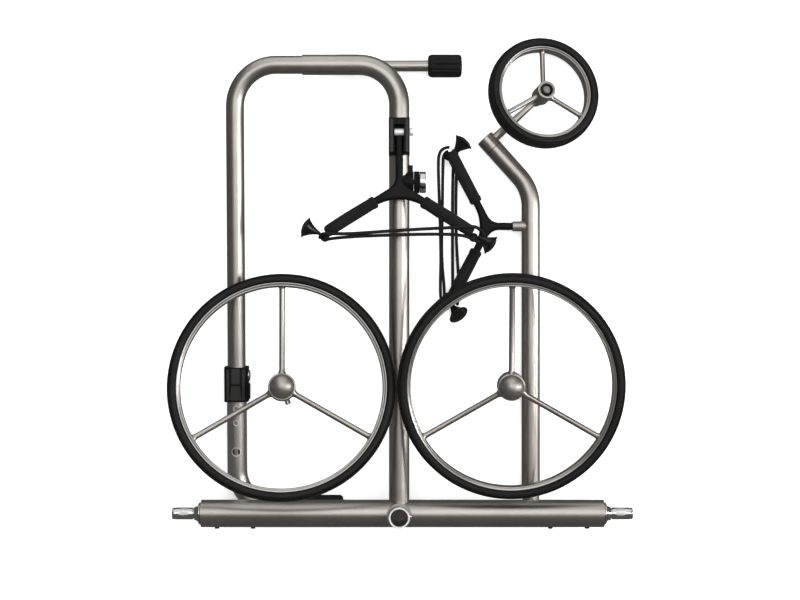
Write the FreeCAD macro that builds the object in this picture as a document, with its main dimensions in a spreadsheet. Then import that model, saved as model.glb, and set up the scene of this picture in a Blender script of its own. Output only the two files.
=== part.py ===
"""Three-wheel manual golf trolley, dismantled and laid flat.

Frame: +X runs along the rear axle, +Y from the axle to the top of the frame, +Z up from the floor.
The origin is on the floor, under the middle of the whole layout. Millimetres.
"""
import FreeCAD, Part
import Sketcher

import math
import os
import re

SIZES = {
    "origin_x": 1.6,
    "origin_y": -0.77,
    "level_height": 52.0,
    "axle_x": 1.6,
    "axle_y": -306.2,
    "axle_radius": 18.0,
    "axle_half": 265.0,
    "tube_wall": 1.5,
    "cap_radius": 14.5,
    "cap_thick": 5.0,
    "neck_length": 5.0,
    "stub_radius": 7.9,
    "stub_reach": 38.4,
    "screw_radius": 3.0,
    "main_x": -2.7,
    "main_radius": 13.4,
    "top_y": 285.5,
    "bend_radius": 52.8,
    "sleeve_end_x": -130.3,
    "socket_radius": 13.5,
    "socket_bore": 11.25,
    "socket_top": 94.0,
    "bead_radius": 16.0,
    "button_radius": 3.2,
    "arm_tube_radius": 7.3,
    "arm_tube_left": -98.0,
    "arm_tube_y": 289.7,
    "arm_axis_height": 15.6,
    "arm_cap_left": 36.0,
    "arm_cap_length": 45.0,
    "arm_cap_radius": 15.3,
    "pivot_x": -72.0,
    "handle_x": -219.8,
    "handle_slope": 3.5,
    "handle_radius": 11.9,
    "handle_bend": 54.8,
    "handle_overlap": 60.0,
    "upper_leg_end": 530.0,
    "lower_radius": 13.2,
    "lower_bore": 12.0,
    "lower_bend": 50.0,
    "collar_top": 400.0,
    "collar_length": 46.0,
    "collar_width": 32.0,
    "collar_depth": 31.0,
    "grip_axis": 589.0,
    "grip_radius": 16.0,
    "grip_left": -170.0,
    "grip_right": -78.0,
    "hinge_y": 194.0,
    "hinge_height": 78.0,
    "knob_y": 130.5,
    "knob_radius": 14.4,
    "yoke_rod": 5.0,
    "yoke_tip": 118.0,
    "tip_radius": 5.2,
    "pad_start": 36.0,
    "pad_end": 113.0,
    "pad_radius": 7.8,
    "hook_length": 20.0,
    "hook_radius": 14.0,
    "hook_neck": 3.0,
    "cord_radius": 1.9,
    "front_x": 174.2,
    "front_radius": 12.3,
    "front_low_y": -316.0,
    "front_corner_y": 124.3,
    "front_bend": 60.0,
    "front_turn": 42.0,
    "front_end": 92.8,
    "steer_length": 18.5,
    "fork_reach": 95.0,
    "fork_radius": 5.4,
    "front_wheel_height": 38.0,
    "front_tyre_radius": 75.0,
    "front_rim_radius": 61.5,
    "front_tyre_half": 12.2,
    "front_lean": 15.0,
    "rear_height": 92.0,
    "rear_y": -136.8,
    "left_x": -154.2,
    "right_x": 142.3,
    "left_lean": -8.0,
    "left_tip": 4.0,
    "right_lean": 6.0,
    "rear_tyre_radius": 147.6,
    "rear_rim_radius": 134.0,
    "rim_inner": 130.4,
    "tyre_half": 10.8,
    "spoke_radius": 3.7,
    "hub_radius": 18.0,
    "dome_radius": 16.0,
    "hub_back": 15.0,
    "core_radius": 12.6,
    "core_bore": 8.0,
    "core_back": 48.0,
}

doc = FreeCAD.newDocument("golf_trolley")
sheet = doc.addObject("Spreadsheet::Sheet", "sizes")
for row, (alias, value) in enumerate(SIZES.items(), start=1):
    sheet.set(f"A{row}", alias)
    sheet.set(f"B{row}", str(value))
    sheet.setAlias(f"B{row}", alias)
doc.recompute()

parts = []


def size(alias):
    return float(sheet.get(alias))


def bound(text):
    """An expression on the sheet: each alias in the text is read from its cell."""
    return re.sub(r"[a-z_]+", lambda word: f"sizes.{word[0]}" if word[0] in SIZES else word[0], str(text))


def vec(x, y, z=0.0):
    return FreeCAD.Vector(x, y, z)


def turn(axis, degrees):
    return FreeCAD.Rotation(axis, degrees)


X_AXIS, Y_AXIS, Z_AXIS = vec(1, 0), vec(0, 1), vec(0, 0, 1)
NO_TURN = FreeCAD.Rotation()
AXIS_TO_X = turn(Y_AXIS, 90)
AXIS_TO_Y = turn(X_AXIS, -90)
WORLD = FreeCAD.Placement()
CENTRED = FreeCAD.Placement(vec(-size("origin_x"), -size("origin_y")), NO_TURN)


def keep(obj, label, place=WORLD, base=None, rotation=NO_TURN):
    """Names a finished sub-part and puts it where its group stands, about the layout's middle."""
    obj.Label = label
    obj.Placement = CENTRED.multiply(place).multiply(FreeCAD.Placement(base or vec(0, 0), rotation))
    parts.append(obj)
    return obj


def primitive(kind, **sizes):
    obj = doc.addObject(f"Part::{kind}", kind.lower())
    for name, text in sizes.items():
        obj.setExpression(name, bound(text))
    return obj


def at(obj, x=0.0, y=0.0, z=0.0, rotation=NO_TURN):
    obj.Placement = FreeCAD.Placement(vec(x, y, z), rotation)
    return obj


def cut(base, tool):
    obj = doc.addObject("Part::Cut", "cut")
    obj.Base, obj.Tool = base, tool
    return obj


def fuse(*shapes):
    obj = doc.addObject("Part::MultiFuse", "fuse")
    obj.Shapes = list(shapes)
    return obj


def common(*shapes):
    obj = doc.addObject("Part::MultiCommon", "common")
    obj.Shapes = list(shapes)
    return obj


def origin_plane(body, role):
    return next(f for f in body.Origin.OriginFeatures if f.Role == role)


def new_sketch(body, role):
    sketch = body.newObject("Sketcher::SketchObject", "sketch")
    sketch.AttachmentSupport = [(origin_plane(body, role), "")]
    sketch.MapMode = "FlatFace"
    return sketch


def bind_datum(sketch, constraint, text):
    index = sketch.addConstraint(constraint)
    sketch.setExpression(f"Constraints[{index}]", bound(text))


def fix_point(sketch, line, end, x, y):
    """Ties one end of a line to a place given by two expressions."""
    for kind, text, own_axis in (("DistanceX", x, -2), ("DistanceY", y, -1)):
        if str(text) == "0":
            sketch.addConstraint(Sketcher.Constraint("PointOnObject", line, end, own_axis))
        else:
            bind_datum(sketch, Sketcher.Constraint(kind, -1, 1, line, end, 1.0), text)


def outline(sketch, points):
    """A closed outline through points given as pairs of expressions."""
    count = len(points)
    rough = [vec(10 + 5 * math.cos(6.28 * i / count), 5 * math.sin(6.28 * i / count)) for i in range(count)]
    for i in range(count):
        sketch.addGeometry(Part.LineSegment(rough[i], rough[(i + 1) % count]), False)
    for i in range(count):
        sketch.addConstraint(Sketcher.Constraint("Coincident", i, 2, (i + 1) % count, 1))
    for i, (x, y) in enumerate(points):
        fix_point(sketch, i, 1, x, y)


def turned(points):
    """A turned piece: pairs (radius, height) about the body's own Z axis."""
    body = doc.addObject("PartDesign::Body", "body")
    sketch = new_sketch(body, "XZ_Plane")
    outline(sketch, points)
    revolution = body.newObject("PartDesign::Revolution", "revolution")
    revolution.Profile = sketch
    revolution.ReferenceAxis = (sketch, ["V_Axis"])
    revolution.Angle = 360
    return body


def amount(text):
    """The value of a sum or difference of aliases and numbers."""
    total = 0.0
    for sign, word in re.findall(r"([+-]?)\s*([a-z_]+|[\d.]+)", str(text)):
        value = size(word) if word in SIZES else float(word)
        total += -value if sign == "-" else value
    return total


def ring_section(body, outer, bore):
    """A ring on the plane across +Y, for a tube that sets out along +Y."""
    sketch = new_sketch(body, "XZ_Plane")
    for radius in (outer, bore):
        index = sketch.addGeometry(Part.Circle(vec(0, 0), Z_AXIS, amount(radius)), False)
        sketch.addConstraint(Sketcher.Constraint("Coincident", index, 3, -1, 1))
        bind_datum(sketch, Sketcher.Constraint("Radius", index, amount(radius)), radius)
    return sketch


def bent_tube(outer, bore, bend, first_leg, second_leg, degrees):
    """A tube that runs along +Y for first_leg, then turns left by degrees and runs on for second_leg."""
    body = doc.addObject("PartDesign::Body", "body")
    profile = ring_section(body, outer, bore)
    angle = math.radians(degrees)
    side = 1 if degrees > 0 else -1
    radius, rise, run = amount(bend), amount(first_leg), amount(second_leg)
    setback = radius * math.tan(abs(angle) / 2)
    heading = vec(-math.sin(angle), math.cos(angle))
    corner = vec(0, rise)
    into, out_of, end = vec(0, rise - setback), corner + heading * setback, corner + heading * run
    centre = into + vec(-side * radius, 0)
    middle = centre + (corner - centre).normalize() * radius

    spine = new_sketch(body, "XY_Plane")
    spine.addGeometry(Part.LineSegment(vec(0, 0), into), False)
    spine.addGeometry(Part.Arc(into, middle, out_of), False)
    spine.addGeometry(Part.LineSegment(out_of, end), False)
    arc_start, arc_end = (1, 2) if side > 0 else (2, 1)
    spine.addConstraint(Sketcher.Constraint("Coincident", 0, 1, -1, 1))
    spine.addConstraint(Sketcher.Constraint("Vertical", 0))
    spine.addConstraint(Sketcher.Constraint("Tangent", 0, 2, 1, arc_start))
    spine.addConstraint(Sketcher.Constraint("Tangent", 1, arc_end, 2, 1))
    bind_datum(spine, Sketcher.Constraint("Radius", 1, radius), bend)
    end_x = f"-({second_leg}) * sin({degrees} deg)"
    end_y = f"{first_leg} + ({second_leg}) * cos({degrees} deg)"
    bind_datum(spine, Sketcher.Constraint("DistanceX", -1, 1, 2, 2, end.x), end_x)
    bind_datum(spine, Sketcher.Constraint("DistanceY", -1, 1, 2, 2, end.y), end_y)
    spine.addConstraint(Sketcher.Constraint("Angle", 2, math.pi / 2 + angle))

    pipe = body.newObject("PartDesign::AdditivePipe", "pipe")
    pipe.Profile = profile
    pipe.Spine = (spine, ["Edge1", "Edge2", "Edge3"])
    return body


def tube(radius, bore, height):
    """A straight hollow cylinder along Z from the origin."""
    outside = primitive("Cylinder", Radius=radius, Height=height)
    return cut(outside, primitive("Cylinder", Radius=bore, Height=height))


def rod(radius, length, x=0.0, y=0.0, z=0.0, rotation=NO_TURN):
    return at(primitive("Cylinder", Radius=radius, Height=length), x, y, z, rotation)


def block(length, width, height, x=0.0, y=0.0, z=0.0):
    """A box with its lowest corner at x, y, z."""
    return at(primitive("Box", Length=length, Width=width, Height=height), x, y, z)


def axis_along(direction):
    """The rotation that takes +Z to a direction."""
    return FreeCAD.Rotation(Z_AXIS, direction)


# The rear axle, the main tube and everything fixed to them -----------------------------------

level = size("level_height")
axle_x, axle_y = size("axle_x"), size("axle_y")
main_x, top_y = size("main_x"), size("top_y")
axle_centre = vec(axle_x, axle_y, level)
AXIS_TO_MINUS_X = turn(Y_AXIS, -90)
AXIS_TO_MINUS_Y = turn(X_AXIS, 90)
MAIN_START = 14.2
SCREW_STATIONS = (-244.5, -197.0, 195.0, 243.5)


def axle_tube():
    half = size("axle_half")
    shell = tube("axle_radius", "axle_radius - tube_wall", "2 * axle_half")
    at(shell, -half, 0, 0, AXIS_TO_X)
    offset = main_x - axle_x
    holes = [
        rod("main_radius", "axle_radius + 4", offset, 0, 0, AXIS_TO_Y),
        rod("socket_radius", "axle_radius + 4", offset, 0, 0),
        block("9", "4.4", "20", offset - 4.5, 13.6, 4.0),
    ]
    holes += [screw_body(x) for x in SCREW_STATIONS]
    keep(cut(shell, fuse(*holes)), "axle_tube", WORLD, axle_centre)


def screw_body(x):
    return rod("screw_radius", "3.6", x, -16.2, 0, AXIS_TO_MINUS_Y)


def axle_screws():
    keep(fuse(*[screw_body(x) for x in SCREW_STATIONS]), "axle_screws", WORLD, axle_centre)


def end_cap(side):
    """A flat disc that closes the axle tube, with a coned neck around the stub."""
    disc = primitive("Cylinder", Radius="cap_radius", Height="cap_thick")
    neck = primitive("Cone", Radius1="stub_radius + 3.6", Radius2="stub_radius + 0.8", Height="neck_length")
    at(neck, 0, 0, size("cap_thick"))
    plug = rod("axle_radius - tube_wall - 0.1", "8", 0, 0, -8)
    cap = cut(fuse(disc, neck, plug), rod("stub_radius", "30", 0, 0, -10))
    return at(cap, side * size("axle_half"), 0, 0, AXIS_TO_X if side > 0 else AXIS_TO_MINUS_X)


def axle_end_caps():
    keep(fuse(end_cap(-1), end_cap(1)), "axle_end_caps", WORLD, axle_centre)


def axle_stub(label, side):
    """A wheel stub with a catch groove near its end and a seating groove near the cap."""
    full, seat, catch = "stub_radius", "stub_radius - 1", "stub_radius - 1.6"
    points = [("0", "-12"), (full, "-12"), (full, "12.5"), (seat, "12.5"), (seat, "14.5"), (full, "14.5")]
    points += [(full, "stub_reach - 8.5"), (catch, "stub_reach - 8.5"), (catch, "stub_reach - 5")]
    points += [(full, "stub_reach - 5"), (full, "stub_reach - 1.5"), (catch, "stub_reach"),
               ("0", "stub_reach")]
    base = axle_centre + vec(side * size("axle_half"), 0)
    keep(turned(points), label, WORLD, base, AXIS_TO_X if side > 0 else AXIS_TO_MINUS_X)


def main_tube():
    rise = f"top_y - axle_y - {MAIN_START}"
    body = bent_tube("main_radius", "main_radius - 1.4", "bend_radius", rise, "main_x - sleeve_end_x", 90)
    keep(body, "main_tube", WORLD, vec(main_x, axle_y + MAIN_START, level))


def socket_tube():
    """The upright socket for the front tube, with a weld collar where it meets the axle tube."""
    height = size("socket_top") - level
    barrel = rod("socket_radius", "socket_top - level_height + 9", 0, 0, -9)
    neighbours = fuse(
        rod("axle_radius", "80", -40, 0, 0, AXIS_TO_X),
        rod("main_radius", "20", 0, MAIN_START, 0, AXIS_TO_Y),
    )
    collar = cut(rod("bead_radius", "10", 0, 0, 10.5), neighbours)
    shaped = cut(fuse(barrel, collar), rod("socket_bore", "120", 0, 0, -20))
    window = rod("button_radius + 0.1", "20", 0, 0, height - 12, AXIS_TO_X)
    keep(cut(shaped, window), "socket_tube", WORLD, vec(main_x, axle_y, level))


def umbrella_saddle():
    """The block that hangs the umbrella arm under the top sleeve."""
    arm_y, arm_top = size("arm_tube_y"), size("arm_axis_height") + size("arm_tube_radius")
    pivot_x = size("pivot_x")
    blank = block("28", "22", "26", pivot_x - 14, arm_y - 12, arm_top + 0.5)
    sleeve = rod("main_radius", "80", pivot_x - 40, top_y, level, AXIS_TO_X)
    bolt = rod("3", "20", pivot_x, arm_y, arm_top - 5)
    keep(cut(blank, fuse(sleeve, bolt)), "umbrella_saddle")


def umbrella_pivot():
    """A bolt up through the umbrella arm into its saddle."""
    points = [("0", "0"), ("5.4", "0"), ("5.4", "2.2"), ("3", "2.2"), ("3", "28"), ("0", "28")]
    base = vec(size("pivot_x"), size("arm_tube_y"), 5.8)
    keep(turned(points), "umbrella_pivot", WORLD, base)


def bracket_clamp():
    """The hinge block of the upper bag bracket: a saddle on the main tube with two ears."""
    width, length = 27.4, 47.5
    hinge_y, hinge_height = size("hinge_y"), size("hinge_height")
    blank = block(str(width), str(length), "hinge_height - level_height + 8", main_x - width / 2,
                  hinge_y - 29, level)
    rounded = doc.addObject("Part::Fillet", "fillet")
    rounded.Base = blank
    doc.recompute()
    upper = [i + 1 for i, edge in enumerate(blank.Shape.Edges) if edge.BoundBox.ZMin > level + 20]
    rounded.Edges = [(index, 4.0, 4.0) for index in upper]
    slot = block("12.6", "38.6", "40", main_x - 6.3, hinge_y - 29.1, hinge_height - 9.5)
    tools = fuse(
        slot,
        rod("main_radius", "80", main_x, hinge_y - 45, level, AXIS_TO_Y),
        rod("3.05", "60", main_x - 30, hinge_y, hinge_height, AXIS_TO_X),
    )
    keep(cut(rounded, tools), "bracket_clamp")


def hinge_pin():
    """The cross pin of the upper bag bracket, flush at one end, with a nut at the other."""
    points = [("0", "-13.6"), ("3", "-13.6"), ("3", "14")]
    points += [("5", "14"), ("5", "17.6"), ("4.2", "18.4"), ("0", "18.4")]
    keep(turned(points), "hinge_pin", WORLD, vec(main_x, size("hinge_y"), size("hinge_height")), AXIS_TO_X)


def accessory_clamp():
    """A half band on the main tube with a drum-shaped boss for the accessory knob."""
    knob_y = size("knob_y")
    band = rod("main_radius + 1.9", "16", main_x, knob_y - 8, level, AXIS_TO_Y)
    boss = rod("knob_radius", "18", main_x + 0.8, knob_y, level, AXIS_TO_X)
    ear = block("7", "12", "14", main_x + 11, knob_y + 10, level - 7)
    hole = rod("3.1", "40", main_x, knob_y, level, AXIS_TO_X)
    bore = rod("main_radius", "80", main_x, knob_y - 40, level, AXIS_TO_Y)
    near_side = block("30", "20", "60", main_x + 1, knob_y - 10, level - 30)
    keep(cut(fuse(common(band, near_side), boss, ear), fuse(hole, bore)), "accessory_clamp")


KNOB_SEAT = 19.0


def accessory_knob():
    """A round plastic knob with a clamping screw, and its bright cap."""
    place = FreeCAD.Placement(vec(main_x + KNOB_SEAT, size("knob_y"), level), AXIS_TO_X)
    rim = "knob_radius"
    points = [("0", "-4.8"), ("3", "-4.8"), ("3", "0.3"), ("knob_radius - 1", "0.3"), (rim, "1.6")]
    points += [(rim, "7"), ("knob_radius - 1.2", "8"), ("0", "8")]
    keep(turned(points), "accessory_knob", place)
    points = [("0", "8"), ("13.4", "8"), ("13.8", "8.6"), ("13.8", "15"), ("12.2", "16.5"), ("0", "16.5")]
    keep(turned(points), "accessory_knob_cap", place)


def umbrella_arm():
    """A thin tube that swings out from under the top sleeve, with a ribbed grip on its end."""
    left, right = size("arm_tube_left"), size("arm_cap_left") + 20
    y, z = size("arm_tube_y"), size("arm_axis_height")
    shell = tube("arm_tube_radius", "arm_tube_radius - 1.2", str(right - left))
    at(shell, 0, 0, 0, AXIS_TO_X)
    hole = rod("3.08", "40", size("pivot_x") - left, 0, -20)
    keep(cut(shell, hole), "umbrella_arm", WORLD, vec(left, y, z))
    rim, seat = "arm_cap_radius", "arm_tube_radius"
    points = [(seat, "0"), ("arm_cap_radius - 2.6", "0"), ("arm_cap_radius - 1", "2"), (rim, "9")]
    points += [(rim, "arm_cap_length - 4"), ("arm_cap_radius - 1.6", "arm_cap_length - 1")]
    points += [("arm_cap_radius - 4", "arm_cap_length"), ("0", "arm_cap_length"), ("0", "20"), (seat, "20")]
    keep(turned(points), "umbrella_arm_grip", WORLD, vec(size("arm_cap_left"), y, z), AXIS_TO_X)


# The folding handle --------------------------------------------------------------------------
# Its own plane runs from the sleeve, y = 0, down to the grip at y = -grip_axis.

handle_plane = FreeCAD.Placement(vec(0, top_y, level), turn(X_AXIS, size("handle_slope")))
handle_x = size("handle_x")
HALF_TURN = turn(Z_AXIS, 180)


def handle_upper_tube():
    reach = "sleeve_end_x + handle_overlap - handle_x"
    body = bent_tube("handle_radius", "handle_radius - 1.2", "handle_bend", "upper_leg_end", reach, -90)
    keep(body, "handle_upper_tube", handle_plane, vec(handle_x, -size("upper_leg_end")))


LOWER_START = 409.0
ADJUSTER_HOLES = ((454.6, 2.9), (474.0, 2.9), (512.8, 5.3))


def handle_lower_tube():
    body = bent_tube("lower_radius", "lower_bore", "lower_bend", f"grip_axis - {LOWER_START}",
                     "grip_right - 8 - handle_x", 90)
    holes = [rod(str(radius), "30", 0, along - LOWER_START) for along, radius in ADJUSTER_HOLES]
    drilled = cut(body, fuse(*holes))
    keep(drilled, "handle_lower_tube", handle_plane, vec(handle_x, -LOWER_START), HALF_TURN)


BUTTON_DROP = 11.7


def height_collar():
    """The clamp of the telescopic handle: a rounded block with a push button in its side."""
    width, depth, length = size("collar_width"), size("collar_depth"), size("collar_length")
    blank = block("collar_width", "collar_length", "collar_depth", -width / 2, -length, -depth / 2)
    rounded = doc.addObject("Part::Fillet", "fillet")
    rounded.Base = blank
    doc.recompute()
    along = [i + 1 for i, edge in enumerate(blank.Shape.Edges) if edge.BoundBox.YLength > 40]
    rounded.Edges = [(index, 9.0, 9.0) for index in along]
    boss = block("8", "20", "16", width / 2 - 6.5, -length + 3, -8)
    bore = rod("lower_radius", "60", 0, -LOWER_START + size("collar_top"), 0, AXIS_TO_MINUS_Y)
    lip = rod("lower_bore", "60", 0, -20, 0, AXIS_TO_Y)
    pocket = rod("7.3", "20", 13.3, -BUTTON_DROP, 0, AXIS_TO_X)
    shaped = cut(fuse(rounded, boss), fuse(bore, lip, pocket))
    keep(shaped, "height_collar", handle_plane, vec(handle_x, -size("collar_top")))


def height_button():
    points = [("0", "0"), ("7.2", "0"), ("7.2", "1.6"), ("6.2", "2.4"), ("0", "2.9")]
    base = vec(handle_x + 15.5, -size("collar_top") - BUTTON_DROP)
    keep(turned(points), "height_button", handle_plane, base, AXIS_TO_X)


def handle_grip():
    long = "grip_right - grip_left"
    bore, rim = "lower_radius", "grip_radius"
    points = [(bore, "0"), ("grip_radius - 1.4", "0"), (rim, "2"), (rim, f"{long} - 4")]
    points += [("grip_radius - 1.2", f"{long} - 1.2"), ("grip_radius - 4", long), ("0", long)]
    points += [("0", f"{long} - 8"), (bore, f"{long} - 8")]
    keep(turned(points), "handle_grip", handle_plane, vec(size("grip_left"), -size("grip_axis")), AXIS_TO_X)


# The two bag brackets ------------------------------------------------------------------------
# Each lies in its own plane with its crotch at the origin and its stem along +Y.


def direction(degrees):
    return vec(math.cos(math.radians(degrees)), math.sin(math.radians(degrees)))


def yoke(label, place, stem, arms):
    """A three-legged rod: a stem and two arms that end in rounded knobs."""
    arm = [("0", "3"), ("yoke_rod", "3"), ("yoke_rod", "yoke_tip - 1.6"), ("tip_radius", "yoke_tip - 1.2")]
    arm += [("tip_radius", "yoke_tip + 1.2"), ("tip_radius * 0.6", "yoke_tip + tip_radius * 0.8")]
    arm += [("0", "yoke_tip + tip_radius")]
    legs = [rod("yoke_rod - 0.1", str(stem - 3), 0, 3, 0, AXIS_TO_Y)]
    legs.append(rod("yoke_rod + 2.5", "yoke_rod * 2 + 0.6", 0, 0, -size("yoke_rod") - 0.3))
    legs += [at(turned(arm), 0, 0, 0, axis_along(direction(degrees))) for degrees in arms]
    keep(fuse(*legs), label, place)


def pad(label, place, degrees):
    """A foam sleeve on one arm."""
    bore, full, soft = "yoke_rod", "pad_radius", "pad_radius - 1.6"
    points = [(bore, "pad_start"), (soft, "pad_start"), (full, "pad_start + 2.5"), (full, "pad_end - 2.5")]
    points += [(soft, "pad_end"), (bore, "pad_end")]
    keep(turned(points), label, place, vec(0, 0), axis_along(direction(degrees)))


def hook(label, place, arm, degrees):
    """A flared cord hook that hangs on the ball of an arm."""
    neck, rim, long = "hook_neck", "hook_radius", "hook_length"
    points = [("0", "tip_radius"), (neck, "tip_radius"), ("hook_neck + 0.6", "tip_radius + 6")]
    points += [("hook_radius * 0.42", "hook_length * 0.72"), ("hook_radius * 0.72", "hook_length * 0.9")]
    points += [(rim, long), ("hook_radius - 0.6", "hook_length + 1.2"),
               ("hook_radius * 0.6", "hook_length + 2.6")]
    points += [("0", "hook_length + 3.2")]
    base = direction(arm) * size("yoke_tip")
    keep(turned(points), label, place, base, axis_along(direction(degrees)))


def cord_shape(route):
    """A round cord: straight runs joined by tangent arcs, with a corner at each point of the route."""
    points = [vec(*point) for point in route]
    edges, here = [], points[0]
    for before, corner, after in zip(points, points[1:], points[2:]):
        into, out_of = (corner - before).normalize(), (after - corner).normalize()
        setback = 0.45 * min((corner - before).Length, (after - corner).Length)
        start, end = corner - into * setback, corner + out_of * setback
        half_turn = into.getAngle(out_of) / 2
        sagitta = setback / math.tan(half_turn) * (1 / math.cos(half_turn) - 1)
        middle = corner + (out_of - into).normalize() * sagitta
        edges.append(Part.LineSegment(here, start).toShape())
        edges.append(Part.Arc(start, middle, end).toShape())
        here = end
    edges.append(Part.LineSegment(here, points[-1]).toShape())
    path = Part.Wire(edges)
    section = Part.Wire([Part.Circle(points[0], points[1] - points[0], size("cord_radius")).toShape()])
    solid = path.makePipeShell([section], True, False)
    share = solid.Volume / (math.pi * size("cord_radius") ** 2 * path.Length)
    if not 0.98 < share < 1.02:
        raise ValueError(f"a cord's volume is {share:.3f} of its section times its length")
    return solid


def cords(label, routes):
    feature = doc.addObject("Part::Feature", "cords")
    feature.Shape = Part.Compound([cord_shape(route) for route in routes])
    keep(feature, label)


CROTCH_Y = 123.0
UPPER_ARMS = (212.0, 328.0)
UPPER_HOOKS = (165.0, 324.0)
UPPER_CORDS = (
    ((-112, 68.6, 79), (-106, 67, 84), (-94, 64.5, 88.4), (-60, 63.6, 88.8), (-18, 65, 88.4),
     (24, 67.2, 88.4), (66, 69, 88.8), (88, 70.8, 88), (101, 69.6, 84), (107.5, 60.4, 79)),
    ((-112, 57.2, 78), (-105, 53.6, 81), (-92, 53.6, 85), (-69, 55, 86.4), (-30, 56.2, 86),
     (10, 57.6, 86.2), (50, 57.4, 86.6), (76, 56.2, 86.6), (90, 53.6, 85.4), (98, 49.8, 82), (104, 49.6, 78)),
)


def upper_bracket():
    place = FreeCAD.Placement(vec(main_x, CROTCH_Y, size("hinge_height")), NO_TURN)
    stem = size("hinge_y") - CROTCH_Y
    yoke("upper_yoke", place, stem - 4.5, UPPER_ARMS)
    keep(tube("4.5", "3.05", "12"), "upper_hinge_barrel", place, vec(-6, stem), AXIS_TO_X)
    for side, arm, flare in zip(("left", "right"), UPPER_ARMS, UPPER_HOOKS):
        pad(f"upper_{side}_pad", place, arm)
        hook(f"upper_{side}_hook", place, arm, flare)
    cords("upper_cords", UPPER_CORDS)


LOWER_CROTCH = (118.0, 74.2, 15.5)
LOWER_ARMS = (207.5, 332.5)
LOWER_HOOKS = (146.8, 24.2)
STUB_LEFT = 149.6
STUB_BITE = 10.0
LOWER_CORDS = (
    ((64.5, 189.5, 15.5), (57.5, 186.5, 17), (51.2, 176, 18.5), (49.2, 155, 19.6), (51.6, 95, 20),
     (53.3, 35, 20), (52.2, -11, 19.6), (53.5, -28, 18), (61, -40.5, 15.5)),
    ((60.5, 187.2, 11.5), (55.8, 180, 12.5), (56.6, 155, 13.6), (55.4, 95, 14), (53.9, 35, 14),
     (58.2, -11, 13.6), (57.5, -28, 12.5), (63, -40.5, 10)),
    ((70.5, 186, 9), (71, 176, 5), (69.5, 140, 4), (69.2, 60, 4), (69.6, -11, 4.2), (69, -27, 5.5),
     (71, -37, 9)),
    ((75, 183, 9.5), (76, 172, 5.2), (74, 140, 4.4), (73.8, 60, 4.6), (78.5, -11, 4.4), (77, -27, 5.4),
     (75.5, -33, 9)),
)


def lower_bracket():
    place = FreeCAD.Placement(vec(*LOWER_CROTCH), turn(Z_AXIS, -90))
    stem = STUB_LEFT + STUB_BITE - LOWER_CROTCH[0]
    yoke("lower_yoke", place, stem, LOWER_ARMS)
    for side, arm, flare in zip(("front", "rear"), LOWER_ARMS, LOWER_HOOKS):
        pad(f"lower_{side}_pad", place, arm)
        hook(f"lower_{side}_hook", place, arm, flare)
    cords("lower_cords", LOWER_CORDS)


# The front tube and the front wheel ----------------------------------------------------------

front_x, front_y = size("front_x"), size("front_low_y")
front_level = size("front_radius")
SPIGOT = 30.0
front_heading = direction(90 + size("front_turn"))
front_corner = vec(front_x, size("front_corner_y"), front_level)
collar_start = front_corner + front_heading * (size("front_end") - size("steer_length"))
steer_centre = front_corner + front_heading * (size("front_end") - size("steer_length") / 2)
arm_heading = direction(size("front_turn"))
front_hub = steer_centre + arm_heading * size("fork_reach")


def front_tube():
    rise = f"front_corner_y - front_low_y - {SPIGOT}"
    body = bent_tube("front_radius", "front_radius - 1.4", "front_bend", rise, "front_end - steer_length - 0.2",
                     size("front_turn"))
    keep(body, "front_tube", WORLD, vec(front_x, front_y + SPIGOT, front_level))


def front_spigot():
    """The reduced end that goes into the frame's socket."""
    fit = "socket_bore - 0.15"
    points = [("0", "0"), ("socket_bore - 1.6", "0"), (fit, "1.5"), (fit, SPIGOT), ("9", SPIGOT),
              ("9", "4"), ("0", "4")]
    keep(turned(points), "front_spigot", WORLD, vec(front_x, front_y, front_level), AXIS_TO_Y)


def bracket_stub():
    """The bright collar on the front tube that takes the lower bag bracket."""
    y, z = LOWER_CROTCH[1:]
    blank = rod("6.7", "20", STUB_LEFT, y, z, AXIS_TO_X)
    tools = fuse(
        rod("5.06", f"{STUB_BITE + 0.5}", STUB_LEFT, y, z, AXIS_TO_X),
        rod("front_radius", "60", front_x, y - 30, front_level, AXIS_TO_Y),
    )
    keep(cut(blank, tools), "bracket_stub")


def steering_collar():
    """The turning end of the front tube, with a spigot inside it."""
    rim, spigot = "front_radius", "front_radius - 1.46"
    points = [("0", "-22"), (spigot, "-22"), (spigot, "0"), (rim, "0"), (rim, "steer_length - 0.8")]
    points += [("front_radius - 0.8", "steer_length"), ("0", "steer_length")]
    keep(turned(points), "steering_collar", WORLD, collar_start, axis_along(front_heading))


# The front wheel and its axle lean outwards, in the direction of the arm.
front_centre = vec(front_hub.x, front_hub.y, size("front_wheel_height"))
front_place = FreeCAD.Placement(front_centre, turn(vec(-arm_heading.y, arm_heading.x), size("front_lean")))
BOSS_BOTTOM = -33.5
BOSS_TOP = -24.2
AXLE_FOOT = -37.3


def fork_arm():
    """The single arm from the steering collar out to the front axle."""
    start = steer_centre + arm_heading * 6
    arm = rod("fork_radius", "fork_reach - 14", start.x, start.y, start.z, axis_along(arm_heading))
    foot = front_place.multVec(vec(0, 0, BOSS_BOTTOM))
    boss = rod("7.4", str(BOSS_TOP - BOSS_BOTTOM), foot.x, foot.y, foot.z, front_place.Rotation)
    inner = collar_start - front_heading * 5
    collar = rod("front_radius", "steer_length + 10", inner.x, inner.y, inner.z, axis_along(front_heading))
    below = front_place.multVec(vec(0, 0, BOSS_BOTTOM - 10))
    bolt = rod("4", "40", below.x, below.y, below.z, front_place.Rotation)
    head = rod("7.6", "10.01", below.x, below.y, below.z, front_place.Rotation)
    keep(cut(fuse(arm, boss), fuse(collar, bolt, head)), "fork_arm")


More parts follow.
